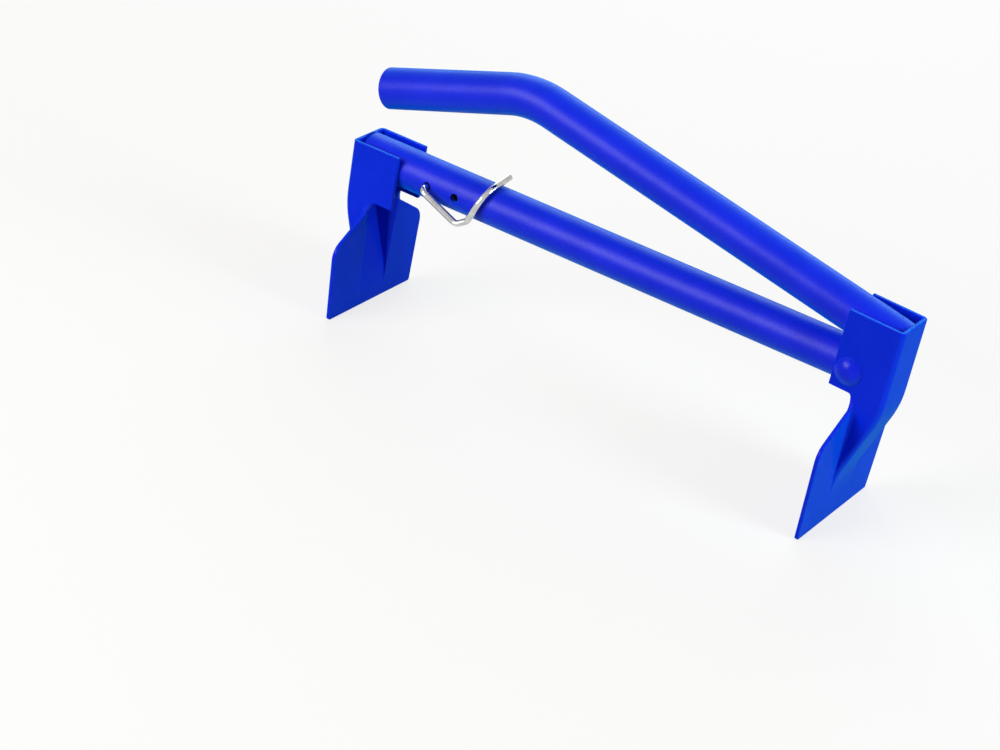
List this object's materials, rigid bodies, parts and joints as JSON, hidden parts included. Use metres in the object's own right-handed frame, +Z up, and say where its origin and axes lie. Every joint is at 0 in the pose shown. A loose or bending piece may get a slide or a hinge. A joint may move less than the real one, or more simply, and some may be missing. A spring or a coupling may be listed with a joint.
{
  "type": "block laying tongs",
  "caption": "Hand tongs for carrying a building block: a tube bar with an adjustable claw at one end and, at the other, a pivoting claw worked by a bent tube handle.",
  "frame": {"origin": "on the ground under the middle of the tongs, with both claws standing on Z = 0", "axes": "+X along the bar towards the pivoting claw, +Y away from the bolt's head and the lock pin's clip, +Z up"},
  "size_m": [0.4698, 0.1142, 0.2321],
  "materials": {
    "bar_paint": "glossy saturated blue paint on steel",
    "jaw_paint": "glossy saturated blue paint on steel",
    "handle_paint": "glossy saturated blue paint on steel",
    "bolt_paint": "glossy saturated blue paint on steel",
    "stem_steel": "bare drawn tube, dark with oil",
    "sleeve_steel": "bare turned steel",
    "insert_plastic": "natural nylon ring",
    "wire_zinc": "bright zinc plated wire"
  },
  "bodies": {
    "bar": {"main_tube": "bar_paint", "stem_tube": "stem_steel", "stem_weld": "jaw_paint", "left_jaw": "jaw_paint", "pivot_sleeve": "sleeve_steel"},
    "lever": {"right_jaw": "jaw_paint", "handle_tube": "handle_paint", "handle_welds": "handle_paint", "pivot_bolt": "bolt_paint", "pivot_washer": "bolt_paint", "pivot_nut": "bolt_paint", "nut_insert": "insert_plastic"},
    "pin": {"lock_pin": "wire_zinc"}
  },
  "joints": [
    {"name": "jaw_pivot", "type": "hinge", "parent": "bar", "child": "lever", "pos_m": [0.20109, 0, 0.12217], "axis": [0, 1, 0], "range_deg": [-3.4, 80]},
    {"name": "lock_pin_pull", "type": "slide", "parent": "bar", "child": "pin", "axis": [0, -1, 0], "range_m": [0, 0.045]}
  ]
}
